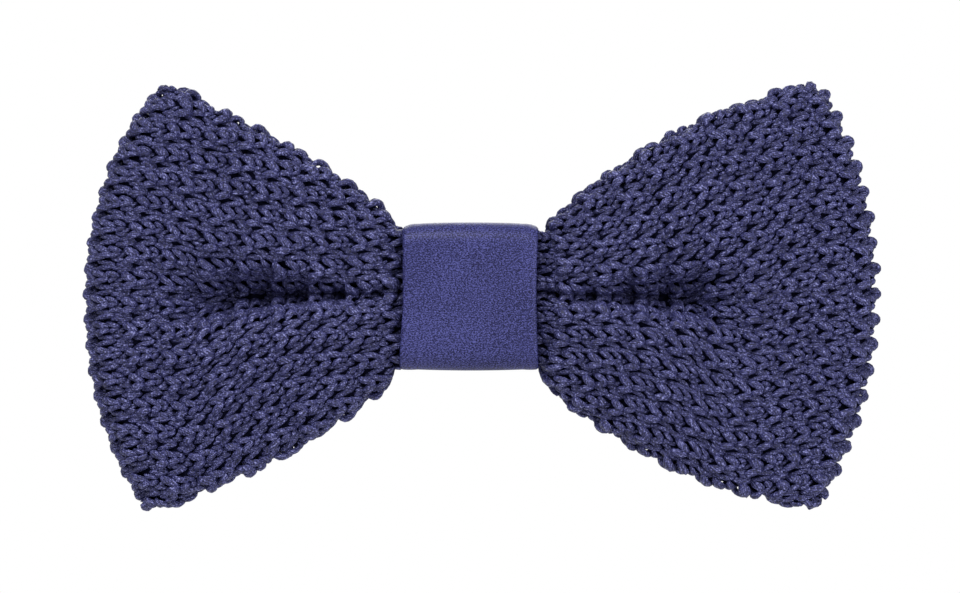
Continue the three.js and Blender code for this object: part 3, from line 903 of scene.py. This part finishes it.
world = bpy.data.worlds.new("studio")
bpy.context.scene.world = world
world.use_nodes = True
tree = world.node_tree
background = tree.nodes["Background"]
background.inputs["Color"].default_value = (1, 1, 1, 1)
seen = tree.nodes.new("ShaderNodeLightPath").outputs["Is Camera Ray"]
strength = tree.nodes.new("ShaderNodeMix")
strength.inputs[2].default_value = WORLD_LIGHT
strength.inputs[3].default_value = 1.0
tree.links.new(seen, strength.inputs[0])
tree.links.new(strength.outputs[0], background.inputs["Strength"])
bpy.context.scene.view_settings.view_transform = "Standard"

FLOOR_HEIGHT = -0.16
bpy.ops.mesh.primitive_plane_add(size=3.0, location=(0, 0, FLOOR_HEIGHT))
floor = bpy.context.object
floor.name = "floor"
floor.data.materials.append(Maker("floor", 0.8).finish((0.75, 0.75, 0.75, 1)))

# ---------------------------------------------------------------- the bow
rng = np.random.RandomState(SEED)
YARN = yarn_material()
GROUND_SHADE = ground_shade_material()
for side in SIDES:
    # The inner cloth, in painted shade, fills the holes between the stitches.
    ground = knit_ground_shade(f"knit_ground_shade_{side}", side)
    ground.data.materials.append(GROUND_SHADE)
    turned = FOLD_MIDDLE + FRONT_PAST_FOLD
    yarns = [
        knit_yarn(f"knit_{side}_front_upper", side, 0.0, turned, FRONT_MESH, rng, 1),
        knit_yarn(f"knit_{side}_front_lower", side, 0.0, turned, FRONT_MESH, rng, -1),
        knit_yarn(f"knit_{side}_back", side, turned, STRIP, BACK_MESH, rng),
        edge_knots(f"knit_{side}_edge", side, rng),
    ]
    for piece in yarns:
        piece.data.materials.append(YARN)
    for piece in (ground, *yarns):
        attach(piece, "bow")
    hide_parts("bow_loop")


# ---------------------------------------------------------------- the knot
WRAP_CENTRE = -1.4
WRAP_HALF_WIDTH = 10.2
WRAP_HALF_HEIGHT = 10.9
WRAP_FRONT = -76.0
WRAP_BACK = -58.2
WRAP_THICKNESS = 0.8
WRAP_CORNER = 3.0
WRAP_STEP = 0.29
WRAP_ROWS = 31
# How far the cloth strays from a plain ring: the hems, the crown of its front and of its top and
# bottom, a slight twist, the rounded upper corners, the waist on the right, the spread of the lower
# left corner and a faint wrinkle.
HEM_PROUD = 0.10
HEM_WIDTH = 2.2
HEM_RISE = 0.8
FRONT_CROWN = 0.45
END_CROWN = 0.25
TWIST = 0.10
CORNER_ROUND = 0.6
WAIST = 0.32
SPREAD = 0.52
WRINKLE = 0.14


def round_ring(half_y, half_z, corner, step):
    """Points at even steps round a rectangle with round corners, from the middle of its front."""
    straight_y, straight_z = half_y - corner, half_z - corner
    pieces = []
    for turn, (cy, cz) in enumerate([(-1, 1), (1, 1), (1, -1), (-1, -1)]):
        a = math.pi - turn * math.pi / 2 - np.linspace(0, math.pi / 2, 14)
        y = cy * straight_y + corner * np.cos(a)
        z = cz * straight_z + corner * np.sin(a)
        pieces.append(np.stack([y, z], -1))
    start = np.array([[-half_y, 0.0]])
    return dense(np.concatenate([start, *pieces, start]), step)


def knot_wrap():
    """The satin ring: an outer and an inner face with rounded hems at both sides."""
    half_z = WRAP_HALF_HEIGHT
    half_y = (WRAP_BACK - WRAP_FRONT) / 2
    ring = round_ring(half_y, half_z, WRAP_CORNER, WRAP_STEP)[:-1]
    along = np.gradient(np.concatenate([ring[-1:], ring, ring[:1]]), axis=0)[1:-1]
    away = unit(np.stack([-along[:, 1], along[:, 0]], -1))
    away *= np.sign((away * ring).sum(1, keepdims=True))
    half = WRAP_THICKNESS / 2
    x_face = np.linspace(-WRAP_HALF_WIDTH + half, WRAP_HALF_WIDTH - half, WRAP_ROWS)
    turn = np.linspace(0, math.pi, 7)[1:-1]
    hem = np.stack([WRAP_HALF_WIDTH - half + half * np.sin(turn), half * np.cos(turn)], -1)
    section = np.concatenate(
        [
            np.stack([x_face, np.full(WRAP_ROWS, half)], -1),
            hem,
            np.stack([x_face[::-1], np.full(WRAP_ROWS, -half)], -1),
            -hem,
        ]
    )
    x, off = section[:, 0], section[:, 1]
    # The hems stand slightly proud, where the cloth is turned under.
    turned = smooth((np.abs(x) - WRAP_HALF_WIDTH + HEM_WIDTH) / HEM_RISE)
    off = off + np.where(off > 0, HEM_PROUD * turned, 0.0)
    bulge = 1.0 - (x / WRAP_HALF_WIDTH) ** 2
    n, m = len(ring), len(section)
    grid = ring[:, None, :] + away[:, None, :] * (off - half)[None, :, None]
    y, z = grid[..., 0], grid[..., 1]
    frontness = smooth(-y / half_y)
    tall = END_CROWN * bulge[None, :] * np.clip(z / half_z, -1, 1)
    twist = np.sin(1.7 * x[None, :] / WRAP_HALF_WIDTH + 2.1 * z / half_z) * TWIST
    share = x[None, :] / WRAP_HALF_WIDTH
    # The upper corners are rounded off; the lower ones stay square.
    rounded = CORNER_ROUND * np.abs(share) ** 10 * np.clip(z / half_z, 0, 1) ** 6
    waist = WAIST * np.clip(share, 0, 1) ** 3 * (1.0 - (z / half_z) ** 2) * frontness
    spread = SPREAD * np.clip(-share, 0, 1) ** 3 * smooth(-z / half_z) * frontness
    # The wrinkle rises from the lower hem, left of the middle.
    off_wrinkle = (x[None, :] + 4.5 - 0.12 * (z + 6.5)) / 0.9
    wrinkle = WRINKLE * np.exp(-(off_wrinkle**2)) * smooth((-z - 2.0) / 4.0)
    proud = (FRONT_CROWN * bulge[None, :] + twist + wrinkle) * frontness
    # The back of the ring bends round the neck with the band.
    from_middle = x[None, :] + WRAP_CENTRE
    hug = (-WRAP_BACK - np.sqrt(WRAP_BACK**2 - from_middle**2)) * (1.0 - frontness)
    hug *= smooth((y + half_y) / half_y)
    verts = np.stack(
        [
            x[None, :] + WRAP_CENTRE - waist - spread,
            y + (WRAP_FRONT + WRAP_BACK) / 2 - proud + hug,
            z + tall - rounded,
        ],
        -1,
    ).reshape(-1, 3)
    i, j = np.meshgrid(np.arange(n), np.arange(m), indexing="ij")
    i2, j2 = (i + 1) % n, (j + 1) % m
    quads = np.stack([i * m + j, i * m + j2, i2 * m + j2, i2 * m + j], -1).reshape(-1, 4)
    step = 4 * (half_y + half_z) / n
    u = np.stack([i, i, i + 1, i + 1], -1) * step
    v = np.stack([x[j], x[j2], x[j2], x[j]], -1)
    uv = np.stack([u, v], -1).reshape(-1, 2)
    return make_quads("satin_knot_wrap", verts, quads, uv, "cloth")


# For both satins the third colour is partly a painted highlight, the glint on the floats.
SATIN = satin_material(
    "knot_satin",
    (0.0050, 0.0052, 0.034),
    (0.0195, 0.0205, 0.087),
    (0.076, 0.080, 0.270),
    Specular_IOR_Level=0.2,
)
RIBBON = satin_material(
    "band_satin",
    (0.010, 0.0105, 0.046),
    (0.027, 0.028, 0.105),
    (0.070, 0.073, 0.230),
    Specular_IOR_Level=0.3,
)
THREAD = thread_material()
NICKEL = nickel_material()
LABEL = label_material()


def finish_piece(piece, material, node):
    piece.data.materials.append(material)
    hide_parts(node)
    return piece


wrap = finish_piece(fix_normals(knot_wrap()), SATIN, "knot_wrap")
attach(wrap, "bow")


# ---------------------------------------------------------------- the neck band
# Degrees round the neck from the bow's middle, and lengths in millimetres.
FRONT_ANGLE = 16.0
SPLIT_ANGLE = 44.0
SLIDER_ANGLE = -138.0
SLIDER_RUN = 15.0
PLATE_THICKNESS = 1.2
SLIDER_RADIUS = BAND_RADIUS + PLATE_THICKNESS / 2 + GAP + RIBBON_THICKNESS / 2
HOOK_ANGLE = -165.0
EYE_ANGLE = 164.0
FOLD_OPENING = 8.0
EYE_RETURN = 14.0
BAR_FOLD_RADIUS = 1.65
BAR_FOLD_START = 0.4
# Where the ribbon leaves the slider's bar and over what length it comes to the band, outside and
# inside the bar, and the degrees round the bar between which its sewn end goes.
OUTSIDE_BAR = (1.1, 3.3)
INSIDE_BAR = (0.3, 3.9)
ROUND_BAR = (-80, 205)
SLIDER_FRONT_END = SLIDER_ANGLE + degrees_along(SLIDER_RUN / 2)
SLIDER_REAR_END = SLIDER_ANGLE - degrees_along(SLIDER_RUN / 2)
HOOK_PLY_END = HOOK_ANGLE + degrees_along(FOLD_OPENING)


def wave_path(middle, start, end, radius_at):
    """A path along the band, whose radius changes with the length from its middle."""
    lengths = np.linspace(start, end, max(4, int(abs(end - start) / WAVE_STEP)))
    return polar(middle + degrees_along(lengths), radius_at(lengths))


def open_ply(distance):
    """How far each ply of a fold lies from their middle, at a distance from the bar."""
    return mix(BAR_FOLD_RADIUS, PLY_STEP / 2, smooth(distance / FOLD_OPENING))


def turn_path(angle, radius, sign):
    """Half a turn round a bar."""
    centre, along, outwards = polar(angle, radius), polar(angle + 90, 1.0), polar(angle, 1.0)
    turn = np.linspace(-math.pi / 2, math.pi / 2, 15)[:, None]
    return centre + BAR_FOLD_RADIUS * (outwards * np.sin(turn) + sign * along * np.cos(turn))


def fold_path(angle, radius, sign, inner_length, outer_length):
    """A ribbon that comes along the inside, turns round a bar and goes back along the outside."""
    start = sign * BAR_FOLD_START
    inner = wave_path(angle, -sign * inner_length, -start, lambda s: radius - open_ply(np.abs(s)))
    outer = wave_path(angle, -start, -sign * outer_length, lambda s: radius + open_ply(np.abs(s)))
    return np.concatenate([inner, turn_path(angle, radius, sign), outer])


def band_piece(name, path, node, ride=None):
    """One run of the ribbon. It rides on a body, or else its placement is baked into its mesh."""
    piece = finish_piece(ribbon(name, path), RIBBON, node)
    if ride:
        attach(piece, ride)
    else:
        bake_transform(piece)


front_path = arc_path(-FRONT_ANGLE, FRONT_ANGLE, BAND_RADIUS)
band_piece("band_front", front_path, "neck_band_front", ride="neck_band")
eye_middle = BAND_RADIUS + PLY_STEP / 2
plain_end = EYE_ANGLE - degrees_along(FOLD_OPENING)
right_path = np.concatenate(
    [
        arc_path(FRONT_ANGLE, plain_end, BAND_RADIUS),
        fold_path(EYE_ANGLE, eye_middle, 1, FOLD_OPENING, EYE_RETURN)[1:],
    ]
)
band_piece(
    "band_right",
    right_path,
    "neck_band_right",
)
band_piece(
    "band_left",
    arc_path(-SPLIT_ANGLE, -FRONT_ANGLE, BAND_RADIUS),
    "neck_band_left",
)
band_piece(
    "band_left_rear",
    arc_path(SLIDER_FRONT_END, -SPLIT_ANGLE, BAND_RADIUS),
    "neck_band_left_rear",
)
for name, radius in (("hook_ply_outer", BAND_RADIUS), ("hook_ply_inner", BAND_RADIUS - PLY_STEP)):
    band_piece(
        f"band_{name}",
        arc_path(HOOK_PLY_END, SLIDER_REAR_END, radius),
        name,
    )
run_top = SLIDER_RADIUS + BAR_FOLD_RADIUS + PLY_STEP
run_path = wave_path(
    SLIDER_ANGLE,
    -SLIDER_RUN / 2,
    SLIDER_RUN / 2,
    lambda s: mix(run_top, BAND_RADIUS, ramp_up(np.abs(s), OUTSIDE_BAR)),
)
band_piece("band_slider_run", run_path, "neck_band_slider_run", ride="slider")
inner_radius = BAND_RADIUS - PLY_STEP
approach = wave_path(
    SLIDER_ANGLE,
    -SLIDER_RUN / 2,
    0.0,
    lambda s: mix(SLIDER_RADIUS - BAR_FOLD_RADIUS, inner_radius, ramp_up(-s, INSIDE_BAR)),
)
loop_turn = np.radians(np.linspace(*ROUND_BAR, 30))[:, None]
loop = polar(SLIDER_ANGLE, SLIDER_RADIUS) + BAR_FOLD_RADIUS * (
    polar(SLIDER_ANGLE + 90, 1.0) * np.cos(loop_turn) + polar(SLIDER_ANGLE, 1.0) * np.sin(loop_turn)
)
band_piece("band_sewn_end", np.concatenate([approach, loop]), "neck_band_sewn_end", ride="slider")
hook_path = fold_path(HOOK_ANGLE, BAND_RADIUS - PLY_STEP / 2, -1, FOLD_OPENING, FOLD_OPENING)
band_piece("band_hook_fold", hook_path, "neck_band_hook_fold", ride="hook_end")

# ---------------------------------------------------------------- hook, eye and slide adjuster
for name in ("slide_adjuster", "hook", "eye"):
    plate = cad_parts[name]
    plate.data.materials.clear()
    plate.data.materials.append(NICKEL)
    bevel = plate.modifiers.new("edges", "BEVEL")
    bevel.width = 0.22 * MM
    bevel.segments = 3
    bevel.limit_method = "ANGLE"
    bevel.angle_limit = math.radians(35)

# ---------------------------------------------------------------- label and stitches
LABEL_START = 100.0
LABEL_END = 124.0
LABEL_THICKNESS = 0.4
LABEL_RADIUS = BAND_RADIUS - RIBBON_THICKNESS / 2 - GAP - LABEL_THICKNESS / 2
LABEL_WIDTH = 11.0
label_path = arc_path(LABEL_START, LABEL_END, LABEL_RADIUS)
label = ribbon("blank_label", label_path, LABEL_THICKNESS, LABEL_WIDTH)
finish_piece(label, LABEL, "fibre_label")
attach(label, "right_band")


# A thread's middle lies this far from the cloth that it is sewn to.
THREAD_LIFT = GAP + THREAD_RADIUS
STITCH_SWING = 0.8
TACK_HALF_HEIGHT = 6.0
TACK_WAVES = 6
PINCH_HALF_GAP = 2.6
PINCH_THICKNESS = 4.6
along_thread = np.linspace(0.0, 1.0, THREAD_POINTS)


def stitch_row(angle, radius, half_height, waves):
    """A wavy row of stitches that climbs across the band at one angle."""
    t = np.linspace(0.0, 1.0, waves * 24)
    shift = degrees_along(STITCH_SWING * np.sin(2 * math.pi * waves * t))
    p = polar(angle + shift, radius)
    return np.stack([p[:, 0], p[:, 1], mix(-half_height, half_height, t)], -1)


def squared(value):
    return np.sign(value) * np.abs(value) ** 0.4


def place_thread(name, points, node, body):
    piece = finish_piece(thread(name, points), THREAD, node)
    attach(piece, body)


# The seam of the strip's ends: stitches that climb the back of the pinch.
seam_y = BOW_PLANE + PINCH_HALF_GAP + PINCH_THICKNESS / 2 + THREAD_LIFT
seam_x = 1.2 * np.sin(8 * math.pi * along_thread)
end_seam = np.stack([seam_x, np.full(THREAD_POINTS, seam_y), mix(-6.0, 6.0, along_thread)], -1)
place_thread("bow_seam_thread", end_seam, "bow_end_seam", "bow")

# Four turns round the pinch.
turns = 2 * math.pi * 4 * along_thread
winding_y = BOW_PLANE + 6.5 * squared(np.cos(turns))
winding = np.stack([mix(-2.2, 2.2, along_thread), winding_y, 9.4 * squared(np.sin(turns))], -1)
place_thread("pinch_winding", winding, "pinch_thread", "bow")

# Stitches along the back of the wrap.
stitch_z = -7.6 + 0.7 * np.sin(10 * math.pi * along_thread)
wrap_seam_y = WRAP_BACK + THREAD_LIFT
wrap_seam = [mix(-8.0, 8.0, along_thread), np.full(THREAD_POINTS, wrap_seam_y), stitch_z]
place_thread("wrap_seam_thread", np.stack(wrap_seam, -1), "knot_wrap_seam", "bow")

tack_radius = inner_radius - RIBBON_THICKNESS / 2 - THREAD_LIFT
place_thread(
    "slider_tack_thread",
    stitch_row(SLIDER_ANGLE - degrees_along(3.2), tack_radius, TACK_HALF_HEIGHT, TACK_WAVES),
    "slider_bar_tack",
    "slider",
)
eye_tack_radius = eye_middle + PLY_STEP / 2 + RIBBON_THICKNESS / 2 + THREAD_LIFT
eye_tack_angle = EYE_ANGLE - degrees_along(FOLD_OPENING + 3.0)
place_thread(
    "eye_tack_thread",
    stitch_row(eye_tack_angle, eye_tack_radius, TACK_HALF_HEIGHT, TACK_WAVES),
    "eye_bar_tack",
    "right_band",
)
label_stitch_radius = LABEL_RADIUS - LABEL_THICKNESS / 2 - THREAD_LIFT
for name, node, angle in (
    ("label_thread_front", "label_stitch_front", LABEL_START + 1.4),
    ("label_thread_rear", "label_stitch_rear", LABEL_END - 1.4),
):
    points = stitch_row(angle, label_stitch_radius, LABEL_WIDTH / 2 - 1.0, 4)
    place_thread(name, points, node, "right_band")
